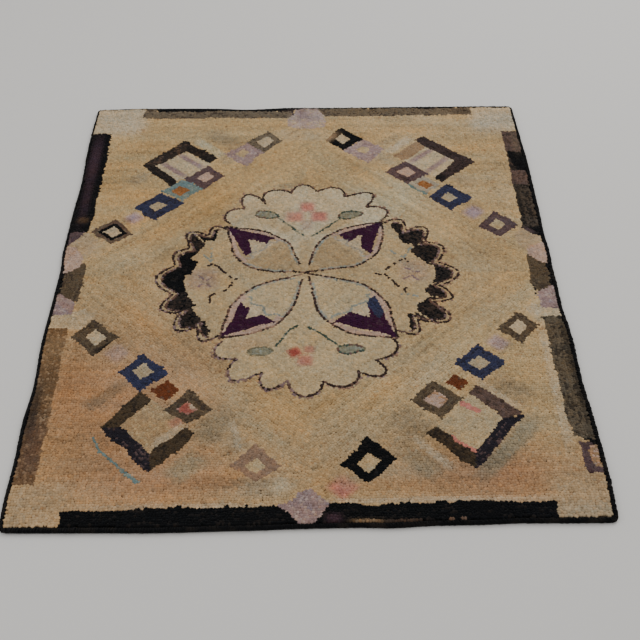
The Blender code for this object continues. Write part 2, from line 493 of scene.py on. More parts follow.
def hookShape(shape, yarn, lean, firm=0.8):
    hookAcross(shape, yarn, lean, firm)
    fillShape(shape, yarn if isinstance(yarn, str) else yarn[0], firm)


def hookAll(shapes):
    for shape, yarn, lean in shapes:
        hookShape(shape, yarn, lean)


def leanOf(run):
    return math.degrees(math.atan2(run[1], run[0]))


def hookDiamond(corners, heart, size, rings, heartYarn):
    corners = np.array(corners, float)
    middle = corners.mean(axis=0)
    corners = middle + (corners - middle) * chain["stretch"]
    share = size / np.hypot(*(corners - middle).T).mean()
    inner = heart + (corners - middle) * share
    side = corners[1] - corners[0]
    depth = (1 - share) * np.hypot(*side) / 2
    number = max(2, int(round(depth / chain["rows"])))
    for row in range(number):
        at = (row + 0.5) / number
        name = rings[min(len(rings) - 1, int(at * len(rings)))]
        hookRow(corners * (1 - at) + inner * at, name, closed=True)
    hookShape(inner, heartYarn, leanOf(side))
    fillShape(corners, rings[0])


openCloth(clothEdge)
closeEdge(clothEdge, pile["rim"])


# The middle of the rug: four scalloped fans behind four petals. Each fan has the turns where its
# lobes meet, each lobe's rise and skew, and the yarns of its outline and of the row outside it.

fans = {
    "far": {"centre": (-2, 93), "radius": 171, "turns": (157, 139, 123, 101, 82, 61, 43, 25), "round": 0.7,
            "rises": (21, 38, 26, 24, 22, 42, 26), "skew": (0.8, 0.85, 0.8, 1, 1.15, 1.4, 1.2),
            "dip": {2: -12, 3: -2}, "tilt": {1: -4}, "lean": 0, "fill": "brightCream",
            "line": ("outline", "outline", "outlineSoft", "outline", "outlineSoft"),
            "halo": ("outlinePale", "gold", "gold")},
    "right": {"centre": (80, -3), "radius": 180, "turns": (63, 48, 31, 11.6, -11.7, -27.1, -46.3, -61.6),
              "rises": (22, 34, 28, 32, 26, 46, 26), "skew": (0.8, 0.8, 0.8, 1, 1.1, 0.95, 1.2),
              "round": 1.15, "lean": 90, "fill": "tanGold",
              "line": ("outline", "outline", "outlineSoft", "outline", "outlinePale"),
              "halo": ("outlinePale", "gold", "gold", "gold")},
    "near": {"centre": (-2, -120), "radius": 170, "round": 0.75,
             "turns": (336.9, 316.7, 301.1, 278.6, 257.2, 240.6, 221.2, 203.9),
             "rises": (16, 34, 24, 35, 31, 44, 25), "skew": (0.8, 0.75, 0.8, 1, 1.2, 1.3, 1.2),
             "lean": 0, "fill": "petalOat", "line": ("outline", "outline", "outlineSoft", "outline"),
             "late": ("mauveGrey", "outlineSoft", "mauveGrey", "outline"),
             "halo": ("mauveGrey", "outlinePale", "petalOat", "outlinePale")},
    "left": {"centre": (-97, -17), "radius": 170, "turns": (246, 229.6, 213, 193.5, 165.5, 145.3, 127.7, 114),
             "rises": (24, 36, 28, 29, 16, 34, 18), "skew": (0.8, 0.85, 0.9, 1, 1.1, 1.25, 1.2),
             "round": 1.15, "lean": 90, "fill": "tanGold",
             "line": ("outline", "outline", "outlineSoft", "outline", "mauveGrey"),
             "halo": ("outlinePale", "gold", "gold", "gold")},
}
# Rows beside a fan's outline, in millimetres inside it, and the dark band's least depth.
fanRows = {"halo": -4.6, "pale": 5.8, "thin": 11.5, "band": 14, "bandLeast": 6}
# Each petal: its tip; for its left and right side, where the outline starts along it, its greatest
# half width and where that comes; and its two-armed chevron, with each arm's start along the petal
# and its half widths there.
petals = {
    "farLeft": {"tip": (-163, 147), "fill": "oatmeal", "bite": 0.718,
                "left": (0, 62.5, 0.49), "right": (0.13, 46, 0.51),
                "ends": ((0.575, 44, 27), (0.565, 38, 14))},
    "farRight": {"tip": (155, 160), "fill": "oatmeal", "bite": 0.72,
                 "left": (0.11, 49, 0.5), "right": (0, 61.5, 0.54),
                 "ends": ((0.572, 38, 7), (0.585, 52, 26))},
    "nearRight": {"tip": (163, -182), "fill": "petalOat", "bite": 0.705,
                  "left": (0, 62, 0.51), "right": (0.05, 65, 0.56),
                  "ends": ((0.556, 52, 33), (0.555, 58, 12)),
                  "navy": ((0.74, 28), (0.75, 12), (0.70, 12), (0.64, 20), (0.58, 23))},
    "nearLeft": {"tip": (-163, -178), "fill": "petalOat", "bite": 0.715,
                 "line": ("outline", "outlineSoft", "outlinePale"),
                 "left": (0.08, 54.5, 0.57), "right": (0.04, 51, 0.54),
                 "ends": ((0.592, 48, 19), (0.597, 39, 14))},
}
petalRoot = np.array((-5.0, 0.0))
petalLine = ("outline", "outline", "outlineSoft", "outline", "outlinePale")
petalSharp = 2.7
petalRows = {"near": (4.4, 8.6, 12.8), "far": (4.6, 9.0), "blue": 5.0, "fill": 2.0}


def fanLine(fan, inset=0.0, start=0.0, stop=1.0):
    path = []
    turns = np.radians(fan["turns"])
    dip, tilt = fan.get("dip", {}), fan.get("tilt", {})
    for index, rise in enumerate(fan["rises"]):
        t = np.linspace(0, 1, 14, endpoint=index == len(fan["rises"]) - 1)
        lobe = np.abs(np.sin(np.pi * t ** fan["skew"][index])) ** fan["round"]
        turn = turns[index] * (1 - t) + turns[index + 1] * t + math.radians(tilt.get(index, 0)) * lobe
        base = fan["radius"] + dip.get(index, 0) * (1 - t) + dip.get(index + 1, 0) * t
        reach = base + rise * lobe - inset
        path.append(np.column_stack([np.cos(turn), np.sin(turn)]) * reach[:, None] + fan["centre"])
    line = np.vstack(path)
    return line[int(len(line) * start):int(len(line) * stop)]


def onPetal(petal, points):
    reach = np.array(petal["tip"], float) - petalRoot
    length = np.hypot(*reach)
    ahead = reach / length
    aside = np.array((-ahead[1], ahead[0]))
    return np.array([petalRoot + ahead * length * share + aside * value for share, value in points])


def petalSide(petal, side, inset=0.0, start=0.0, stop=1.0):
    first, widest, at = petal["left" if side > 0 else "right"]
    shares = np.linspace(max(start, first), stop, 40)
    width = (shares / at) ** (petalSharp * at) * ((1 - shares) / (1 - at)) ** (petalSharp * (1 - at))
    width = widest * width - inset
    return onPetal(petal, [(share, side * max(value, 0.5)) for share, value in zip(shares, width)])


def hookPetal(petal, part):
    for side in (1, -1):
        hookRow(petalSide(petal, side), petal.get("line", petalLine), firm=0.95)
    tip, bite = (0.985, 0), (petal["bite"], 0)
    for side, (share, outer, inner) in zip((1, -1), petal["ends"]):
        if side > 0 and "navy" in petal:
            hookShape(onPetal(petal, ((share, outer), *petal["navy"], (share, inner))), "navy", 75)
        edge = (0.82, side * (outer * 0.36))
        arm = onPetal(petal, (tip, edge, (share, side * outer), (share, side * inner), bite))
        hookShape(arm, "purple", leanOf(arm[0] - arm[2]))
    for side in (1, -1):
        for inset in petalRows[part]:
            hookRow(petalSide(petal, side, inset, 0.52, 0.97), "palePink", firm=0.9)
        blue = petalSide(petal, side, petalRows["blue"], 0.12, 0.54)
        hookRow(blue, ("bluePale", "bluePale", "sky"), firm=0.9)
    left, right = petal["ends"]
    scallop = ((0.55, left[1] * 1.05), (0.505, left[1] * 0.8), (0.57, left[2] + 4), (0.52, 2),
               (0.55, -right[2] - 4), (0.50, -right[1] * 0.8), (0.55, -right[1] * 1.05))
    hookRow(smooth(onPetal(petal, scallop)), {"near": "sky", "far": "bluePale"}[part], firm=0.9)
    vee = ((0.52, left[1] * 0.8), (0.60, left[2]), bite, (0.60, -right[2]), (0.52, -right[1] * 0.8))
    hookShape(onPetal(petal, vee), "oat", 0)
    shape = [petalSide(petal, side, petalRows["fill"]) for side in (1, -1)]
    ahead = petal["tip"] - petalRoot
    hookShape(np.vstack([shape[0], shape[1][::-1]]), petal["fill"], leanOf(ahead / np.hypot(*ahead)))


def leafShape(centre, across, along, lean):
    turn = math.radians(lean)
    t = np.linspace(0, 2 * math.pi, 18, endpoint=False)
    u, v = across / 2 * np.cos(t), along / 2 * np.sin(t) * (1 - 0.25 * np.cos(t))
    across = u * math.cos(turn) - v * math.sin(turn)
    return np.column_stack([across, u * math.sin(turn) + v * math.cos(turn)]) + centre


for fan in fans.values():
    hookRow(fanLine(fan, 0, 0, 0.5), fan["line"], firm=0.95)
    hookRow(fanLine(fan, 0, 0.5, 1), fan.get("late", fan["line"]), firm=0.95)
for name, petal in petals.items():
    hookPetal(petal, "near" if name.startswith("near") else "far")
for fan in fans.values():
    hookRow(fanLine(fan, fanRows["halo"]), fan["halo"], firm=0.9)

# Leaves (middle, length, width and lean) and stems of the far and near fans.
leaves = {
    "farLeft": ((-84, 183), 48, 24, -12), "farRight": ((88, 184), 50, 24, 14),
    "nearLeft": ((-88, -212), 45, 20, 8), "nearRight": ((77, -210), 50, 22, -8),
}
stems = {
    "farLeft": ((-60, 172), (-38, 148), (-12, 118)), "farRight": ((65, 168), (38, 140), (5, 115)),
    "nearLeft": ((-20, -150), (-42, -172), (-62, -198)), "nearRight": ((0, -152), (28, -176), (54, -200)),
}
for name, (centre, across, along, lean) in leaves.items():
    yarn = ("moss", "leaf") if name == "nearLeft" else ("moss", "stem", "outlineSoft")
    hookRow(leafShape(centre, across, along, lean), yarn, closed=True, firm=0.9)
    hookShape(leafShape(centre, across - 4, along - 4, lean), "leaf", lean)
for name, path in stems.items():
    yarn = ("stem", "stem", "stem", "leaf") if name.startswith("near") else ("stem", "leaf", "stem")
    hookRow(smooth(path), yarn, firm=0.9)
# The dark band inside the left and right fans: where each part starts and stops along the fan,
# counted in lobes, its inner side's reach from the fan's centre at the start, midway and at the
# stop, and its yarn.
smoky = ("brownBlack", "darkBrown", "brownBlack", "black")
bands = {
    "left": ((0.4, 1.15, 166, 158, 156, smoky), (0.9, 2.2, 156, 154, 146, smoky),
             (2.1, 3.1, 136, 141, 142, smoky), (3.05, 3.8, 145, 147, 144, "black"),
             (3.75, 4.6, 136, 130, 132, "black"), (4.55, 5.05, 152, 151, 150, "black"),
             (4.95, 5.75, 152, 152, 154, smoky), (5.75, 6.6, 160, 162, 168, "black")),
    "right": ((0.35, 1.0, 175, 166, 160, smoky), (0.95, 1.82, 158, 147, 150, smoky),
              (1.77, 2.2, 160, 158, 154, smoky), (2.13, 3.05, 146, 147, 160, smoky),
              (3, 3.98, 168, 172, 168, smoky), (4, 4.85, 164, 148, 162, smoky),
              (4.8, 5.2, 170, 166, 162, smoky), (5.1, 5.8, 163, 158, 166, smoky),
              (5.8, 6.6, 168, 171, 182, smoky)),
}


def bandShape(fan, first, last, reaches):
    outer = fanLine(fan, fanRows["band"], first / len(fan["rises"]), last / len(fan["rises"]))
    away = outer - fan["centre"]
    far = np.hypot(*away.T)
    near = np.interp(np.linspace(0, 1, len(outer)), (0, 0.5, 1), reaches)
    inner = fan["centre"] + away * (near.clip(None, far - fanRows["bandLeast"]) / far)[:, None]
    return np.vstack([outer, inner[::-1]])


for side in ("left", "right"):
    thin = ("outlineSoft", "outline", "outlineSoft", "mauveGrey")
    hookRow(fanLine(fans[side], fanRows["thin"], 0.05, 0.96), thin, firm=0.92)
    hookRow(fanLine(fans[side], fanRows["pale"], 0.02, 0.99), "oatmeal", firm=0.92)
for side, parts in bands.items():
    for first, last, *reaches, yarn in parts:
        hookShape(bandShape(fans[side], first, last, reaches), yarn, 90)
# Short strokes of yarn on the left and right fans.
dashes = (
    (((-208, 60), (-188, 36)), "sky"), (((-191, 78), (-190, 42)), "sky"),
    (((-196, 26), (-188, 33), (-178, 25), (-166, 6), (-150, -13)), "outline"),
    (((-146, -16), (-131, -16)), "outline"),
    (((-147, -27), (-155, -43), (-164, -50), (-183, -57), (-190, -66), (-189, -82)), "outline"),
    (((165, 65), (190, 47)), "sky"), (((207, 75), (192, 50)), "sky"),
    (((197, 33), (190, 46), (178, 34), (160, 20), (150, 8)), "outline"),
    (((132, -3), (146, -3)), "outline"),
    (((150, -2), (155, -12), (165, -27), (175, -40), (187, -45)), "outline"),
    (((184, -47), (183, -58)), "outline"), (((178, -64), (204, -68)), "sky"),
)
for path, yarn in dashes:
    hookRow(path, (yarn, yarn, yarn, "tanGold"), firm=0.9)
sprigs = (
    ((-215, -5), (-205, -15)), ((-189, -10), (-197, -18)), ((-215, -39), (-206, -30)),
    ((-187, -36), (-196, -28)), ((190, 14), (201, 8)), ((206, 2), (219, 2)), ((187, -19), (198, -11)),
    ((205, -10), (213, -21)),
)
for path in sprigs:
    hookRow(path, "mauveGrey", firm=0.9)
for fan in fans.values():
    shape = np.vstack([fanLine(fan), [petalRoot]])
    hookShape(shape, fan["fill"], fan["lean"], 0.4)
print("medallion hooked,", len(hooked["x"]), "loops")


# The chains of hollow diamonds that make the big lozenge. Each has its corners (far, right, near
# and left), its heart's middle and half size, its rings' yarns from the outside in, and its
# heart's yarn.

chain = {"stretch": 1.06, "rows": 4.5}
diamonds = {
    "farLeft1": (((-88, 487), (-58, 453), (-95, 410), (-130, 448)), (-92, 451), 20, ["greyOlive"], "oat"),
    "farLeft2": (((-130, 445), (-100, 410), (-134, 363), (-177, 403)), (-140, 405), 17, ["lilac"], "tanGold"),
    "farLeft3": (((-216, 356), (-180, 324), (-221, 277), (-261, 314)), (-218, 317), 20, ["mauve"],
                 "palePink"),
    "farLeft4": (((-269, 306), (-227, 277), (-263, 235), (-305, 271)), (-271, 269), 20, ["teal"], "orange"),
    "farLeft5": (((-311, 261), (-263, 226), (-316, 174), (-355, 213)), (-314, 218), 17, ["navy"], "greyGold"),
    "farLeft6": (((-397, 171), (-358, 126), (-398, 95), (-435, 134)), (-397, 132), 19, ["brown", "black"],
                 "oat"),
    "farRight1": (((80, 500), (122, 458), (83, 421), (48, 456)), (83, 460), 18, ["black"], "oat"),
    "farRight2": (((127, 452), (169, 419), (135, 374), (83, 416)), (125, 416), 16, ["lilac"], "tanGold"),
    "farRight3": (((216, 369), (258, 326), (214, 290), (174, 332)), (216, 330), 19, ["mauve"], "palePink"),
    "farRight4": (((240, 322), (282, 287), (252, 260), (213, 292)), (254, 286), 17, ["bluePale"], "orange"),
    "farRight5": (((300, 287), (343, 239), (301, 200), (258, 243)), (300, 240), 18, ["navy"], "greyGold"),
    "farRight6": (((390, 189), (429, 147), (390, 110), (351, 140)), (389, 147), 18, ["mauve"], "tanGold"),
    "nearLeft6": (((-397, -130), (-350, -175), (-387, -218), (-434, -170)), (-390, -173), 22, ["olive"],
                  "oat"),
    "nearLeft5": (((-300, -220), (-253, -264), (-297, -307), (-337, -262)), (-297, -260), 20, ["navy"],
                  "greyGold"),
    "nearLeft3": (((-209, -310), (-171, -351), (-211, -383), (-248, -351)), (-211, -350), 18, ["olive"],
                  "palePink"),
    "nearLeft2": (((-90, -438), (-51, -478), (-92, -507), (-130, -475)), (-90, -478), 18, ["paleMauve"],
                  "tanGold"),
    "nearRight6": (((388, -120), (424, -152), (389, -197), (353, -162)), (389, -157), 20, ["olive"], "oat"),
    "nearRight5": (((306, -204), (346, -247), (306, -288), (261, -247)), (304, -247), 19, ["navy"],
                   "greyGold"),
    "nearRight3": (((217, -294), (262, -334), (222, -378), (178, -336)), (219, -336), 22, ["olive"],
                   ("palePink", "pinkGold", "palePink")),
    "nearRight1": (((96, -423), (138, -465), (95, -512), (51, -476)), (95, -473), 20, ["black"], "tanGold"),
}
for diamond in diamonds.values():
    hookDiamond(*diamond)
solids = (
    (((-252, -285), (-230, -306), (-252, -328), (-274, -306)), "rust", 45),
    (((258, -274), (278, -294), (258, -314), (238, -294)), "rust", 45),
    (((208, 292), (216, 290), (252, 256), (244, 252)), "teal", -45),
)
hookAll(solids)

# A bracket in each corner, of two or three sides. Each side has its outer line's two ends, then its
# inner line's, then its yarn. A block has its corners, its yarn and the lean of its rows.
brackets = {
    "farLeftNear": ((-359, 363), (-293, 287), (-329, 360), (-280, 306), "brownBlack"),
    "farLeftBack": ((-359, 363), (-271, 456), (-329, 360), (-266, 416), "blackBrown"),
    "farLeftFar": ((-271, 456), (-197, 387), (-266, 416), (-213, 371), "brownBlack"),
    "farRightFar": ((264, 466), (370, 368), (245, 450), (325, 368), "plumBrown"),
    "farRightNear": ((370, 368), (290, 298), (325, 368), (275, 312), "plumBrown"),
    "nearLeftFar": ((-354, -394), (-297, -311), (-324, -391), (-274, -327), "darkOlive"),
    "nearLeftBack": ((-354, -394), (-264, -489), (-324, -391), (-268, -449), "blackPlum"),
    "nearLeftNear": ((-264, -489), (-194, -410), (-268, -449), (-211, -395), "darkOlive"),
    "nearRightFar": ((362, -368), (295, -304), (330, -378), (276, -322), "mauveBrown"),
    "nearRightBack": ((367, -375), (270, -488), (327, -383), (272, -452), "blackPlum"),
    "nearRightNear": ((270, -488), (197, -413), (272, -452), (214, -398), "darkOlive"),
}
blocks = {
    "farRightSide": (((246, 444), (264, 425), (213, 374), (194, 395)), "tanBrown", 45),
    "pinkLine": (((261, -341), (291, -362), (287, -367), (257, -347)), "rose", -35),
    "pinkLineNear": (((238, -415), (275, -448), (270, -453), (234, -420)), "rose", -42),
    "heartFarLeft": (((-327, 360), (-266, 414), (-209, 368), (-236, 334), (-280, 308)), "paleGold", 42),
    "heartFarRight": (((268, 428), (324, 368), (277, 314), (252, 332), (214, 372)), "paleGold", 47),
    "heartNearLeft": (((-322, -391), (-268, -447), (-211, -394), (-232, -372), (-270, -328)), "wheat", 42),
    "heartNearRight": (((326, -381), (272, -450), (215, -397), (240, -372), (278, -324)), "sandGold", 48),
}
for outerStart, outerStop, innerStart, innerStop, yarn in brackets.values():
    hookBetween((outerStart, outerStop), (innerStart, innerStop), yarn)
    fillShape((outerStart, outerStop, innerStop, innerStart), yarn)
hookAll(blocks.values())
hookBetween(((-364, -413), (-340, -447), (-314, -473), (-277, -503)),
            ((-365, -418), (-343, -452), (-320, -481), (-281, -511)), "teal", rows=1)
hookRow(((-335, -459), (-316, -480), (-284, -509)), "teal")
print("chains and brackets hooked,", len(hooked["x"]), "loops")


# The broken border: bars along the four edges, a group of small blocks at the middle of each side.
# Each has its corners, its yarn and the lean of its rows.

bars = {
    "leftFarEnd": (((-490, 483), (-443, 482), (-444, 468), (-490, 470)), "black", 90),
    "leftFar": (((-490, 470), (-443, 470), (-443, 300), (-446, 132), (-490, 132)), "black", 90),
    "leftMauve": (((-490, 132), (-450, 131), (-462, 112), (-480, 90), (-490, 90)), "mauve", 90),
    "leftArch": (((-490, 90), (-478, 92), (-450, 130), (-424, 108), (-428, 72), (-446, 58), (-462, 84),
                  (-490, 86)), "warmCream", 60),
    "leftPink": (((-490, 86), (-462, 84), (-446, 60), (-448, 28), (-474, 10), (-490, 12)), "palePink", 0),
    "leftOlive": (((-474, 8), (-455, 28), (-441, 37), (-438, 10), (-436, -30), (-440, -77), (-458, -66),
                   (-475, -55)), "olive", 90),
    "leftBulge": (((-490, 12), (-473, 9), (-472, -6), (-476, -25), (-472, -38), (-474, -52), (-490, -55)),
                  "black", 90),
    "leftLilac": (((-490, -56), (-475, -57), (-444, -79), (-446, -108), (-490, -112)), "lilac", 0),
    "leftCream": (((-490, -112), (-446, -108), (-420, -96), (-404, -118), (-424, -148), (-490, -150)),
                  "oat", 0),
    "leftNear": (((-490, -150), (-447, -150), (-445, -330), (-446, -510), (-490, -510)), "umber", 90),
    "farLeftEnd": (((-375, 600), (-350, 600), (-350, 572), (-375, 572)), "greyOlive", 0),
    "farLeft": (((-375, 574), (-36, 574), (-36, 549), (-200, 546), (-375, 550)), "greyOlive", 0),
    "farLeftLine": (((-345, 600), (-14, 600), (-14, 582), (-62, 580), (-105, 571), (-130, 574),
                     (-345, 573)), "black", 0),
    "farBlob": (((-66, 583), (-30, 583), (-32, 561), (-60, 560)), "brownBlack", 0),
    "farLilac": (((-12, 600), (14, 600), (40, 556), (42, 510), (0, 500), (-40, 510), (-42, 548),
                  (-26, 566)), "paleLilac", 0),
    "farRight": (((18, 582), (383, 583), (383, 556), (200, 554), (42, 551)), "greyOlive", 0),
    "farRightLine": (((14, 600), (383, 600), (383, 584), (18, 583)), "black", 0),
    "rightFarEnd": (((443, 484), (490, 484), (490, 402), (446, 405)), "mauveBrown", 90),
    "rightFarDark": (((446, 405), (490, 402), (490, 335), (458, 338)), "black", 90),
    "rightFarStub": (((446, 404), (458, 372), (460, 337), (444, 338)), "blackBrown", 90),
    "rightFarLow": (((444, 338), (490, 335), (490, 285), (442, 285)), "mauveBrown", 90),
    "rightFar": (((442, 285), (490, 285), (490, 140), (441, 140)), "barkBrown", 90),
    "rightBlack": (((441, 140), (490, 150), (490, 115), (462, 112)), "black", 90),
    "rightArch": (((441, 140), (462, 112), (490, 113), (490, 88), (466, 86), (440, 66), (424, 84),
                   (424, 116)), "warmCream", 120),
    "rightPink": (((490, 88), (466, 86), (440, 66), (436, 50), (466, 26), (490, 30)), "palePink", 0),
    "rightOlive": (((436, 51), (468, 26), (469, -42), (440, -58), (432, -30), (431, 18)), "olive", 90),
    "rightBulge": (((490, 30), (468, 26), (469, -42), (490, -45)), "black", 90),
    "rightLilac": (((490, -45), (469, -42), (440, -58), (440, -104), (490, -106)), "lilac", 0),
    "rightCream": (((490, -106), (440, -104), (420, -96), (404, -112), (420, -126), (490, -126)), "oat", 0),
    "rightNear": (((438, -125), (490, -126), (490, -430), (444, -422), (438, -380)), "khaki", 90),
    "rightStub": (((458, -414), (490, -406), (490, -440), (472, -437), (456, -428)), "black", 0),
    "rightPinkNear": (((463, -441), (490, -441), (490, -487), (470, -487), (462, -472)),
                      ("tanBrown", "palePink", "pinkGold"), 90),
    "rightRing": (((450, -436), (490, -436), (490, -500), (453, -499)), "mauve", 90),
    "nearLeft": (((-395, -567), (-300, -565), (-80, -560), (-50, -563), (-10, -597), (-10, -612),
                  (-395, -612)), "black", 0),
    "nearLilac": (((-50, -562), (-32, -553), (-20, -538), (0, -530), (15, -545), (30, -557), (2, -592),
                   (-8, -597)), "lilac", 0),
    "nearRight": (((30, -558), (60, -557), (100, -561), (250, -556), (387, -556), (387, -612), (-10, -612),
                   (-8, -598)), "black", 0),
}
hookRow(((436, -44), (434, -70)), ("black", "brownBlack", "oat"))
hookRow(((-15, 572), (-15, 545)), "mauveGrey")
hookRow(((180, -586), (277, -586)), ("brown", "black", "brown"))
hookAll(bars.values())
print("border hooked,", len(hooked["x"]), "loops")


# The ground. Inside the big lozenge its rows run beside the chains, and outside they run across.

lozenge = np.array(((0, 548), (484, 44), (484, -70), (0, -572), (-484, -70), (-484, 44)), float)
ground = {"lozengeRows": 116, "reach": 388, "wave": 1.6, "firm": 0.25, "holeFirm": 0.3}


def hookGround():
    middle = np.array((0, -10.0))
    for row in range(ground["lozengeRows"]):
        share = 1 - (row + 0.5) * pile["rows"] / ground["reach"]
        if share <= 0.02:
            break
        path = evenly(middle + (lozenge - middle) * share, 3.0, True)[0]
        sway = np.sin(np.arange(len(path)) / 19 + row * 0.08)[:, None] * ground["wave"]
        hookRow(path + (path - middle) / 400 * sway, "gold", closed=True, firm=ground["firm"])
    everywhere = ((-495, -615), (495, -615), (495, 615), (-495, 615))
    hookAcross(everywhere, "gold", 0, ground["firm"], ground["wave"])


def fillHoles():
    open_ = ~taken
    for axis, step in ((0, 1), (0, -1), (1, 1), (1, -1)):
        open_ &= ~np.roll(taken, step, axis)
    rows, columns = np.nonzero(open_)
    tree = kdtree.KDTree(len(hooked["x"]))
    for index, (x, y) in enumerate(zip(hooked["x"], hooked["y"])):
        tree.insert((x, y, 0), index)
    tree.balance()
    added = 0
    for row, column in zip(rows, columns):
        if taken[row, column]:
            continue
        x, y = (column + 0.5) * cell - halfAcross, (row + 0.5) * cell - halfAlong
        nearest = tree.find((x, y, 0))[1]
        addLoops(np.array(((x, y),)), [hooked["turn"][nearest]], hooked["yarn"][nearest], ground["holeFirm"])
        added += 1
    return added


hookGround()
print("ground hooked,", len(hooked["x"]), "loops, and", fillHoles(), "more in the holes")


# Settling: loops that stand too close push each other apart, the pattern's own loops least.

settling = {"passes": 5, "apart": 4.6, "most": 1.2, "inset": 1.7}


def settle(x, y, firm):
    give, apart, most = 1 - firm, settling["apart"], settling["most"]
    for _ in range(settling["passes"]):
        tree = kdtree.KDTree(len(x))
        for index in range(len(x)):
            tree.insert((x[index], y[index], 0), index)
        tree.balance()
        moveX, moveY = np.zeros(len(x)), np.zeros(len(x))
        for index in range(len(x)):
            for spot, other, gap in tree.find_range((x[index], y[index], 0), apart):
                if other > index and gap > 0.01:
                    push = (apart - gap) / gap * 0.5
                    share = (give[index] + 0.05) / (give[index] + give[other] + 0.1)
                    dx, dy = (x[index] - spot[0]) * push, (y[index] - spot[1]) * push
                    moveX[index] += dx * share
                    moveY[index] += dy * share
                    moveX[other] -= dx * (1 - share)
                    moveY[other] -= dy * (1 - share)
        x, y = x + moveX.clip(-most, most), y + moveY.clip(-most, most)
    return x, y


def pullInside(x, y, shape, inset):
    nearX, nearY, best = np.zeros(len(x)), np.zeros(len(x)), np.full(len(x), 1e9)
    for (x0, y0), (x1, y1) in zip(shape, np.roll(shape, -1, axis=0)):
        size = (x1 - x0) ** 2 + (y1 - y0) ** 2
        t = (((x - x0) * (x1 - x0) + (y - y0) * (y1 - y0)) / size).clip(0, 1)
        px, py = x0 + t * (x1 - x0), y0 + t * (y1 - y0)
        gap = np.hypot(x - px, y - py)
        nearer = gap < best
        best[nearer], nearX[nearer], nearY[nearer] = gap[nearer], px[nearer], py[nearer]
    outside = ~insideShape(x, y, shape)
    signed = np.where(outside, -best, best)
    short = (inset - signed).clip(0, None)
    away = np.where(outside, -1, 1) / np.maximum(best, 0.01)
    return x + (x - nearX) * away * short, y + (y - nearY) * away * short


loopX, loopY = np.array(hooked["x"]), np.array(hooked["y"])
loopX, loopY = settle(loopX, loopY, np.array(hooked["firm"]))
loopX, loopY = pullInside(loopX, loopY, clothEdge, settling["inset"])
loopTurn = np.array(hooked["turn"])
print("settled", len(loopX), "loops")


# Dyeing: each loop takes its yarn's colour, then soft patches, streaks and its own small change.

# Soft patches: x, y, half across, half along, lean in degrees, yarn, share. The first group lies on
# the ground yarn, the second on all the pale yarns, and the third on every other yarn.
groundPatches = (
    (-300, 520, 160, 60, 0, "gold", 0.35), (250, 520, 190, 60, 0, "paleGold", 0.45),
    (330, -60, 90, 90, 0, "paleGold", 0.35), (-340, 40, 80, 120, 0, "paleGold", 0.25),
    (0, 400, 110, 70, 0, "gold", 0.3), (180, 240, 90, 70, 45, "reedGold", 0.9),
    (-200, 235, 90, 60, -45, "ochre", 0.95), (-210, -270, 80, 60, 45, "pinkGold", 0.35),
    (190, -270, 80, 70, -45, "paleGold", 0.6), (330, 20, 70, 130, 0, "greyGold", 0.3),
    (-330, -330, 150, 180, 0, "pinkGold", 0.9), (-250, -500, 170, 70, 0, "pinkGold", 0.9),
    (300, -500, 170, 75, 0, "pinkGold", 1.0), (420, -320, 40, 130, 0, "sandGold", 0.45),
    (-425, -310, 42, 130, 0, "rustGold", 0.65), (-395, -285, 60, 16, 8, "rustGold", 0.5),
    (-335, -440, 24, 60, 30, "rustGold", 0.45), (-150, -512, 50, 12, 0, "rustGold", 0.45),
    (-185, -452, 26, 12, 45, "rustGold", 0.4), (-170, -335, 30, 14, -45, "rustGold", 0.35),
    (-390, -430, 16, 60, 0, "umber", 0.14), (-100, -300, 90, 40, -40, "gold", 0.4),
    (400, -530, 90, 22, 0, "rustGold", 0.35), (120, -520, 90, 22, 0, "rustGold", 0.25),
    (60, -420, 120, 60, 0, "greyGold", 0.4), (-150, -360, 60, 40, 40, "greyGold", 0.35),
    (-420, 300, 50, 120, 0, "ochre", 0.3), (415, 260, 50, 110, 0, "paleGold", 0.5),
)
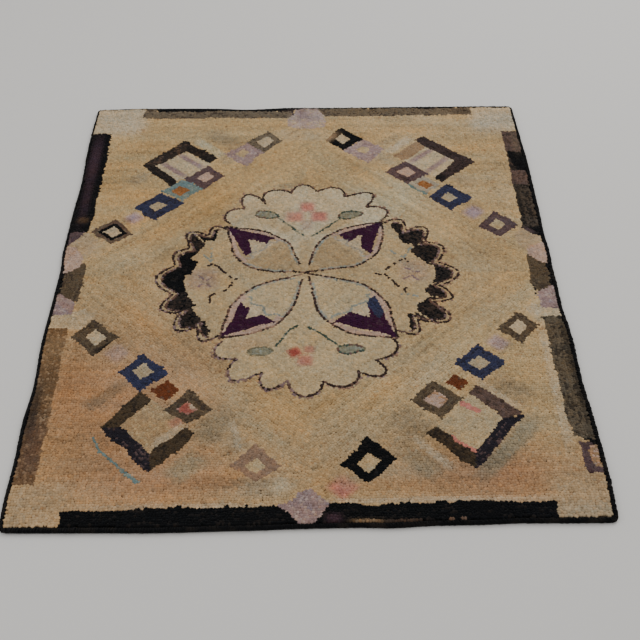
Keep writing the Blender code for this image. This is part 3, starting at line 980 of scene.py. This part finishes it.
blockPatches = (
    (431, -280, 9, 165, 0, "cream", 0.5), (210, -550, 190, 5, 0, "cream", 0.45),
    (-230, -558, 170, 5, 0, "cream", 0.35), (-431, 548, 62, 63, 0, "cream", 1.0),
    (436, 548, 57, 63, 0, "cream", 1.0), (-440, -560, 47, 50, 0, "warmCream", 0.9),
    (436, -552, 54, 56, 0, "warmCream", 1.0), (-358, 177, 15, 15, 45, "softLilac", 1.0),
    (-371, 165, 9, 9, 45, "orange", 0.3), (345, 189, 19, 17, 45, "softLilac", 1.0),
    (164, 380, 25, 28, 45, "greyGold", 0.8), (-254, 377, 38, 7, -42, "lilac", 1.0),
    (-290, 346, 38, 7, -43, "lilac", 1.0), (254, 392, 40, 7, 44, "lilac", 0.95),
    (286, 358, 42, 7, 47, "lilac", 0.9), (-214, 424, 42, 12, -45, "reedGold", 1.0),
    (-180, 455, 50, 20, -45, "greySage", 0.6), (-10, 475, 60, 22, 0, "cream", 0.3),
    (207, 433, 40, 11, 47, "cream", 0.75), (186, 452, 36, 12, 47, "greyGreen", 0.5),
    (-175, 380, 16, 12, 45, "greyGold", 0.7), (-348, -215, 18, 18, 45, "softLilac", 0.38),
    (-76, -522, 36, 20, 0, "greyGreen", 0.7), (-48, -520, 18, 16, 45, "paleGold", 0.6),
    (-227, -381, 14, 10, 45, "pink", 0.6), (-354, -318, 40, 13, 42, "greyOlive", 0.62),
    (-163, -392, 38, 26, 45, "greySage", 0.95), (-205, -478, 34, 22, 45, "greySage", 1.0),
    (-127, -412, 6, 30, 12, "cream", 0.5), (-130, -430, 22, 22, 45, "greyGreen", 0.5),
    (-238, -412, 34, 10, 45, "cream", 0.5), (345, -197, 15, 17, 45, "softLilac", 0.8),
    (51, -523, 19, 19, 45, "rose", 0.95), (330, -444, 80, 17, 48, "greyTeal", 0.8),
    (172, -390, 38, 27, -45, "greySage", 0.75), (178, -472, 38, 20, -45, "greySage", 0.95),
    (203, -455, 42, 8, -49, "cream", 0.7), (350, -310, 42, 24, -45, "greySage", 0.75),
    (325, -322, 44, 8, -45, "cream", 0.55), (140, -430, 26, 20, 45, "greyGreen", 0.4),
    (60, -500, 26, 22, 45, "greyGreen", 0.5), (-45, 283, 24, 9, 8, "greyTeal", 0.6),
    (-205, -15, 30, 30, 0, "lilac", 0.45), (208, 6, 30, 32, 0, "lilac", 0.36),
    (0, 211, 15, 16, 0, "rose", 0.95), (-27, 178, 18, 16, 0, "rose", 0.9),
    (24, 178, 17, 16, 0, "rose", 0.95), (-2, 150, 12, 16, 0, "palePink", 0.6),
    (-27, -217, 12, 11, 30, "red", 1.0), (-8, -238, 14, 13, 0, "pink", 0.9),
    (0, -210, 10, 9, 0, "pink", 0.75), (-213, -350, 15, 14, 0, "red", 0.9),
    (-203, -346, 6, 6, 0, "cream", 0.8), (-58, 148, 40, 14, -38, "tanGold", 0.8),
    (60, 150, 40, 13, 36, "ochre", 0.6), (-4, 40, 16, 70, 0, "tanGold", 0.8),
    (-105, 195, 70, 50, 20, "tanGold", 0.55), (-30, 250, 60, 30, 0, "paleGold", 0.4),
    (-110, -195, 40, 16, 8, "pinkGold", 0.3), (-290, 268, 7, 14, -45, "cream", 0.8),
    (-360, 315, 26, 14, 45, "greyGreen", 0.6), (340, 300, 30, 18, -45, "greyGreen", 0.55),
    (-430, 80, 22, 30, 0, "warmCream", 0.5), (-432, -128, 34, 24, 0, "oat", 0.85),
    (20, -560, 12, 10, 0, "lilac", 0.5),
)
barPatches = (
    (-466, 385, 11, 75, 0, "plum", 0.75), (-466, 250, 9, 80, 0, "plum", 0.5),
    (-462, 172, 10, 9, 0, "umber", 0.5), (-474, -355, 9, 66, 0, "blackBrown", 0.75),
    (-462, -440, 18, 62, 0, "mauve", 0.35), (-478, -140, 8, 8, 0, "rust", 0.6),
    (-462, -200, 20, 40, 0, "tan", 0.35), (455, 70, 10, 9, 0, "rose", 0.7),
    (465, -110, 8, 7, 0, "black", 0.7), (470, 445, 8, 40, 0, "greyOlive", 0.4),
    (447, 210, 5, 70, 0, "black", 0.6), (472, -260, 6, 150, 0, "black", 0.6),
    (452, 128, 12, 5, -45, "mauve", 0.8), (87, -591, 22, 5, 0, "tanBrown", 0.75),
    (35, -583, 12, 8, 0, "plum", 0.8), (150, -590, 30, 3, 0, "brown", 0.5),
    (16, 584, 10, 6, 0, "mauve", 0.6), (-5, 556, 24, 24, 0, "lilac", 0.6),
    (-8, 575, 7, 18, 0, "mauve", 0.4), (50, 465, 12, 26, -45, "tanBrown", 0.9),
    (285, 312, 13, 13, 45, "black", 0.85), (-372, -198, 16, 5, 45, "black", 0.85),
    (-412, -146, 14, 4, 45, "black", 0.5), (360, 570, 22, 12, 0, "darkBrown", 0.5),
    (-336, 322, 6, 36, 42, "brown", 0.4), (212, 306, 12, 5, -45, "black", 0.5),
)
paleYarns = (
    "gold", "oat", "oatmeal", "petalOat", "brightCream", "tanGold", "sandGold", "paleGold", "wheat",
    "palePink", "bluePale",
)


def turned(x, y, turn):
    return x * np.cos(turn) + y * np.sin(turn), y * np.cos(turn) - x * np.sin(turn)


def mixIn(colour, other, weight):
    return colour * (1 - weight[:, None]) + other * weight[:, None]


# How squarely each group's patches end, and how fast they fade.
patchEdge = {"ground": 1.7, "block": 5.0, "bar": 3.0, "fade": 0.85}


def patchUp(colour, patches, mixed, mask, power):
    for x, y, across, along, lean, yarn, share in patches:
        u, v = turned(loopX - x, loopY - y, math.radians(lean))
        gap = np.abs(u / across) ** power + np.abs(v / along) ** power
        colour = mixIn(colour, mixed[yarn], share * np.exp(-gap * patchEdge["fade"]) * mask)
    return colour


def dye():
    names = np.array(hooked["yarn"])
    mixed = {name: linear(value) for name, value in yarns.items()}
    colour = np.array([mixed[name] for name in names])
    ahead, aside = turned(loopX, loopY, loopTurn)
    flecks = softNoise(ahead / 14, aside / 4.6, 8) + luck.normal(0, 1.1, len(names))
    for name, (other, share) in heather.items():
        mask = names == name
        if mask.any():
            level = np.quantile(flecks[mask], 1 - share)
            weight = dyeing["heather"] / (1 + np.exp(-(flecks - level) * dyeing["heatherEdge"])) * mask
            colour = mixIn(colour, mixed[other], weight)
    isGround, isPale = names == "gold", np.isin(names, paleYarns)
    colour = patchUp(colour, groundPatches, mixed, isGround, patchEdge["ground"])
    colour = patchUp(colour, blockPatches, mixed, isPale, patchEdge["block"])
    colour = patchUp(colour, barPatches, mixed, ~isPale, patchEdge["bar"])
    slant = np.where(loopX * loopY > 0, -0.80, 0.80)
    u, v = turned(loopX, loopY, np.where(insideShape(loopX, loopY, lozenge), slant, 0.0))
    streak = softNoise(u / 150, v / 10, 3) * 0.6 + softNoise(u / 60, v / 5.5, 4) * 0.4
    cloud = softNoise(loopX / 70, loopY / 60, 5)
    blush = softNoise(u / 120, v / 26, 6)
    strength = np.where(isGround, 1.0, dyeing["calm"])
    tone = 1 + dyeing["streak"] * streak * strength + dyeing["cloud"] * cloud * strength
    tone += dyeing["spread"] * luck.normal(0, 1, len(loopX))
    fleck = isGround & (softNoise(u / 9, v / 3.4, 11) + 0.5 * luck.normal(0, 1, len(loopX)) > dyeing["fleck"])
    colour = np.where(fleck[:, None], colour * 0.55 + mixed["rustGold"] * 0.35, colour)
    colour = colour * tone.clip(0.55, 1.6)[:, None]
    warm = dyeing["blush"] * blush * strength + dyeing["hue"] * luck.normal(0, 1, len(loopX))
    warm = np.where(isGround, warm + dyeing["warmth"], warm)
    colour = colour * np.column_stack([1 + 0.9 * warm, 1 - 0.1 * warm, 1 - 1.4 * warm])
    return (colour * dyeing["gain"]).clip(0.002, 0.95)


loopColour = dye()
print("dyed", len(yarns), "yarns")


# One loop of wool, modelled once: a crest over the cloth and a flat stitch under it.

loopShape = {"across": 5.9, "deep": 5.8, "belly": 7.5, "crown": 9.2, "foot": 0.25, "stitch": 0.64,
             "ridge": 0.46}


def closeMesh():
    bpy.ops.mesh.select_all(action="SELECT")
    bpy.ops.mesh.normals_make_consistent(inside=False)
    bpy.ops.object.mode_set(mode="OBJECT")


def thicken(height):
    bpy.ops.mesh.select_all(action="SELECT")
    bpy.ops.mesh.extrude_region_move(TRANSFORM_OT_translate={"value": (0, 0, height)})
    closeMesh()


def selectFaces(mesh, test):
    for face in mesh.faces:
        face.select_set(test(face))
    mesh.select_flush_mode()


def modelLoop():
    bpy.ops.object.select_all(action="DESELECT")
    half = (loopShape["belly"] - loopShape["foot"]) / 2
    bpy.ops.mesh.primitive_cube_add(size=1, location=(0, 0, loopShape["foot"] + half),
                                    scale=(loopShape["deep"], loopShape["across"], half * 2))
    bpy.ops.object.transform_apply(location=True, rotation=True, scale=True)
    loop = bpy.context.object
    loop.name = "oneLoop"
    bpy.ops.object.mode_set(mode="EDIT")
    shape = bmesh.from_edit_mesh(loop.data)
    selectFaces(shape, lambda face: face.normal.z < -0.5)
    bmesh.update_edit_mesh(loop.data)
    bpy.ops.transform.resize(value=(loopShape["stitch"], loopShape["stitch"], 1))
    selectFaces(shape, lambda face: face.normal.z > 0.5)
    bmesh.update_edit_mesh(loop.data)
    rise = loopShape["crown"] - loopShape["belly"]
    bpy.ops.mesh.extrude_region_move(TRANSFORM_OT_translate={"value": (0, 0, rise)})
    bpy.ops.transform.resize(value=(loopShape["ridge"], 0.0, 1))
    bpy.ops.mesh.select_all(action="SELECT")
    bpy.ops.mesh.remove_doubles(threshold=0.01)
    closeMesh()
    return loop


def takeShape(thing):
    spots = np.array([tuple(vertex.co) for vertex in thing.data.vertices])
    faces = [tuple(face.vertices) for face in thing.data.polygons]
    bpy.data.objects.remove(thing, do_unlink=True)
    return spots, faces


# Many copies of one small shape: each copy's faces count on from the copy before.
def copyFaces(faces, points, count):
    return [row for face in faces for row in np.add.outer(np.arange(count) * points, face)]


# The flat map for baking: the top on one part of the sheet, and the rest beside it.
def flatMap(spots, corner, upward):
    low, high = spots[:, :2].min(axis=0), spots[:, :2].max(axis=0)
    wide, tall = high - low
    standing = wide <= tall
    scale = min(0.70 / wide, 0.98 / tall) if standing else min(0.98 / wide, 0.66 / tall)
    under = min(0.25 / wide, 0.98 / tall) if standing else min(0.98 / wide, 0.27 / tall)
    above = (spots[corner, :2] - low) * scale + 0.01
    below = (spots[corner, :2] - low) * under + ((0.735, 0.01) if standing else (0.01, 0.70))
    return np.where(upward[:, None], above, below)


def joinedPiece(name, spots, faces, upwardFace, finish, colour=None):
    mesh = bpy.data.meshes.new(name)
    sizes = np.array([len(face) for face in faces])
    corner = np.concatenate([np.asarray(face) for face in faces])
    mesh.vertices.add(len(spots))
    mesh.loops.add(len(corner))
    mesh.polygons.add(len(faces))
    mesh.vertices.foreach_set("co", (spots / 1000).astype(np.float32).ravel())
    mesh.loops.foreach_set("vertex_index", corner.astype(np.int32))
    mesh.polygons.foreach_set("loop_start", np.concatenate([[0], np.cumsum(sizes)[:-1]]).astype(np.int32))
    mesh.polygons.foreach_set("use_smooth", np.ones(len(faces), bool))
    sheetMap = mesh.uv_layers.new(name="OFBake")
    flat = flatMap(spots, corner, np.repeat(upwardFace, sizes))
    sheetMap.data.foreach_set("uv", flat.astype(np.float32).ravel())
    if colour is not None:
        layer = mesh.color_attributes.new(name="yarn", type="FLOAT_COLOR", domain="POINT")
        full = np.column_stack([colour, np.ones(len(colour))])
        layer.data.foreach_set("color", full.astype(np.float32).ravel())
    mesh.materials.append(finish)
    mesh.update(calc_edges=True)
    mesh.validate()
    piece = bpy.data.objects.new(name, mesh)
    bpy.context.scene.collection.objects.link(piece)
    return piece


def pileHeight(x, y):
    first = np.sin(2 * math.pi * (x / 310 + 0.3 * y / 230))
    second = np.sin(2 * math.pi * (y / 230 - 0.4 * x / 310))
    return 0.2 * (first + second)


# How unlike each other the loops are. Bold yarns are thicker.
uneven = {"turn": 1.4, "size": 0.07, "bold": 1.17, "tall": 0.30, "boldTall": 0.3, "lean": 0.35}


def hookedPiece(name, members, shape, faces, finish):
    x, y = loopX[members] + chartShift[0], loopY[members] + chartShift[1]
    count = len(x)
    turn = loopTurn[members] + luck.uniform(-uneven["turn"], uneven["turn"], count)
    size = (1 + luck.normal(0, uneven["size"], count)).clip(0.85, 1.14)
    size = size * np.where(bold[members], uneven["bold"], 1.0)
    tall = luck.normal(0, uneven["tall"], count) + pileHeight(x, y) + uneven["boldTall"] * bold[members]
    tall = tall.clip(-1.0, 0.55)[:, None]
    leanX, leanY = luck.normal(0, uneven["lean"], (2, count))
    lift = ((shape[:, 2] - 1.0) / (loopShape["crown"] - 1.0)).clip(0, 1)
    local = shape[None, :, :2] * size[:, None, None]
    across, along = turned(local[..., 0], local[..., 1], -turn[:, None])
    spots = np.stack([across + x[:, None] + leanX[:, None] * lift, along + y[:, None] + leanY[:, None] * lift,
                      shape[None, :, 2] + tall * lift], axis=-1).reshape(-1, 3)
    allFaces = copyFaces(faces, len(shape), count)
    crown = loopShape["belly"] - 0.1
    upward = np.repeat([all(shape[i, 2] > crown for i in face) for face in faces], count)
    colour = np.repeat(loopColour[members], len(shape), axis=0)
    piece = joinedPiece(name, spots, allFaces, upward, finish, colour)
    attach(piece, "root")
    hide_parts("rug_ground")
    print(name, count, "loops,", sum(len(face) - 2 for face in faces) * count, "triangles")
    return piece


woolMaterial = woolFinish()
bold = np.isin(np.array(hooked["yarn"]), ("outline", "outlineSoft", "stem", "sky"))
oneLoop, oneLoopFaces = takeShape(modelLoop())
medallionEdge = np.vstack([fanLine(fan) for fan in fans.values()])
inMedallion = insideShape(loopX, loopY, medallionEdge)
inLozenge = insideShape(loopX, loopY, lozenge) & ~inMedallion
outside = ~inMedallion & ~inLozenge
members = {
    "pile_medallion_far": inMedallion & (loopY >= 0), "pile_medallion_near": inMedallion & (loopY < 0),
    "pile_lozenge_far": inLozenge & (loopY >= 0), "pile_lozenge_near": inLozenge & (loopY < 0),
    "pile_corner_far_left": outside & (loopX < 0) & (loopY >= 0),
    "pile_corner_far_right": outside & (loopX >= 0) & (loopY >= 0),
    "pile_corner_near_left": outside & (loopX < 0) & (loopY < 0),
    "pile_corner_near_right": outside & (loopX >= 0) & (loopY < 0),
}
pilePieces = [hookedPiece(name, mask, oneLoop, oneLoopFaces, woolMaterial) for name, mask in members.items()]


# The foundation: one thin jute cloth cut to the same outline, which the loops are pulled through.

foundation = {"name": "rug_foundation", "low": 0.0006, "thick": 0.0011, "rim": 0.012}


def modelFoundation():
    outline = groundOutline()
    outline = outline[np.argsort(np.arctan2(outline[:, 1], outline[:, 0]))]
    bpy.ops.object.select_all(action="DESELECT")
    bpy.ops.mesh.primitive_circle_add(vertices=len(outline), radius=500, fill_type="NGON")
    cloth = bpy.context.object
    cloth.name = foundation["name"]
    order = np.argsort([math.atan2(vertex.co.y, vertex.co.x) for vertex in cloth.data.vertices])
    for index, (x, y) in zip(order, outline):
        cloth.data.vertices[int(index)].co = (x / 1000, y / 1000, foundation["low"])
    bpy.ops.object.mode_set(mode="EDIT")
    bpy.ops.mesh.select_all(action="SELECT")
    bpy.ops.mesh.inset(thickness=foundation["rim"])
    thicken(foundation["thick"])
    cloth.data.materials.append(juteFinish())
    return cloth


cloth = modelFoundation()
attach(cloth, "root")
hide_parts("rug_ground")
print("foundation cut")


# The whipped edge: black yarn wound over the edge, one wrap modelled once and laid along each side.
# The wrap is a ring of radius 1 with a thin tube. The core fills the space inside the wraps.

whipping = {"pitch": 4.1, "strand": 1.85, "slant": 1.7, "wobble": 0.5, "ragged": 1.1, "tall": 8.3,
            "tallVary": 0.45, "ring": 0.86, "tube": 0.14}
core = {"inset": 1.1, "low": 1.3, "tall": 5.6, "parts": 40}
sides = {"left": 1, "right": 1, "near": 0, "far": 0}      # the axis that each side runs along


def edgeLines(side):
    spots = nodePoints("binding_" + side)
    spots = np.unique(np.round(spots[(spots[:, 2] > 0.9) & (spots[:, 2] < 2.0)][:, :2], 2), axis=0)
    fine = evenly(groundOutline(), 1.0, True)[0]
    gap = np.array([np.hypot(*(fine - spot).T).min() for spot in spots])
    return tuple(line[np.argsort(line[:, sides[side]])] for line in (spots[gap < 2.5], spots[gap >= 2.5]))


def modelWrap():
    bpy.ops.object.select_all(action="DESELECT")
    bpy.ops.mesh.primitive_torus_add(major_segments=8, minor_segments=4, rotation=(0, math.pi / 2, 0),
                                     major_radius=whipping["ring"], minor_radius=whipping["tube"])
    wrap = bpy.context.object
    bpy.ops.object.transform_apply(location=True, rotation=True, scale=True)
    return takeShape(wrap)


def modelEdge(side, wrap, wrapFaces, finish):
    inner, outer = edgeLines(side)
    count = int(evenly(inner, 1.0)[2] / whipping["pitch"])
    marks = (np.arange(count) + 0.5) / count + luck.normal(0, 0.06, count) / count
    start, stop = atShares(inner, marks, 0.5), atShares(outer, marks, 0.5)
    across = (stop - start) / np.hypot(*(stop - start).T)[:, None]
    start = start - across * (luck.normal(0, whipping["ragged"], count) + 0.4).clip(-0.5, 2.2)[:, None]
    stop = stop + across * luck.normal(0, whipping["ragged"] * 0.6, count).clip(-0.8, 0.8)[:, None]
    middle, width = (start + stop) / 2, np.hypot(*(stop - start).T)
    ahead = np.column_stack([-across[:, 1], across[:, 0]])
    tall = whipping["tall"] + luck.normal(0, whipping["tallVary"], count).clip(-1.0, 0.3)
    thick = whipping["strand"] * (1 + luck.normal(0, 0.08, count)) / whipping["tube"]
    slant = whipping["slant"] + luck.normal(0, whipping["wobble"], count)
    out = wrap[None, :, 1] * (width / 2)[:, None]
    up = wrap[None, :, 2] * (tall / 2)[:, None] + (tall / 2)[:, None]
    along = wrap[None, :, 0] * thick[:, None] + slant[:, None] * (wrap[None, :, 2] + wrap[None, :, 1] * 0.5)
    flat = middle[:, None] + across[:, None] * out[..., None] + ahead[:, None] * along[..., None]
    spots = np.dstack([flat, up]).reshape(-1, 3)
    coreSpots, coreFaces = edgeCore(inner, outer)
    faces = copyFaces(wrapFaces, len(wrap), count) + [np.array(face) + len(spots) for face in coreFaces]
    upward = np.repeat([np.mean([wrap[i, 2] for i in face]) > 0 for face in wrapFaces], count)
    upward = np.concatenate([upward, np.zeros(len(coreFaces), bool)])
    piece = joinedPiece("whipping_" + side, np.vstack([spots, coreSpots]), faces, upward, finish)
    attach(piece, "root")
    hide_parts("binding_" + side)
    print(piece.name, count, "wraps")
    return piece


def edgeCore(inner, outer):
    bpy.ops.object.select_all(action="DESELECT")
    bpy.ops.mesh.primitive_grid_add(x_subdivisions=core["parts"], y_subdivisions=1, size=1)
    filling = bpy.context.object
    grid = np.array([tuple(vertex.co) for vertex in filling.data.vertices])
    shares = (grid[:, 0] + 0.5).clip(0, 1) * 0.996 + 0.002
    start, stop = atShares(inner, shares, 0.5), atShares(outer, shares, 0.5)
    across = (stop - start) / np.hypot(*(stop - start).T)[:, None] * core["inset"]
    rim = np.where(grid[:, 1:2] < 0, start + across, stop - across)
    for vertex, (x, y) in zip(filling.data.vertices, rim):
        vertex.co = (x, y, core["low"])
    bpy.ops.object.mode_set(mode="EDIT")
    thicken(core["tall"])
    return takeShape(filling)


edgeMaterial = edgeFinish()
oneWrap, oneWrapFaces = modelWrap()
edgePieces = [modelEdge(side, oneWrap, oneWrapFaces, edgeMaterial) for side in sides]
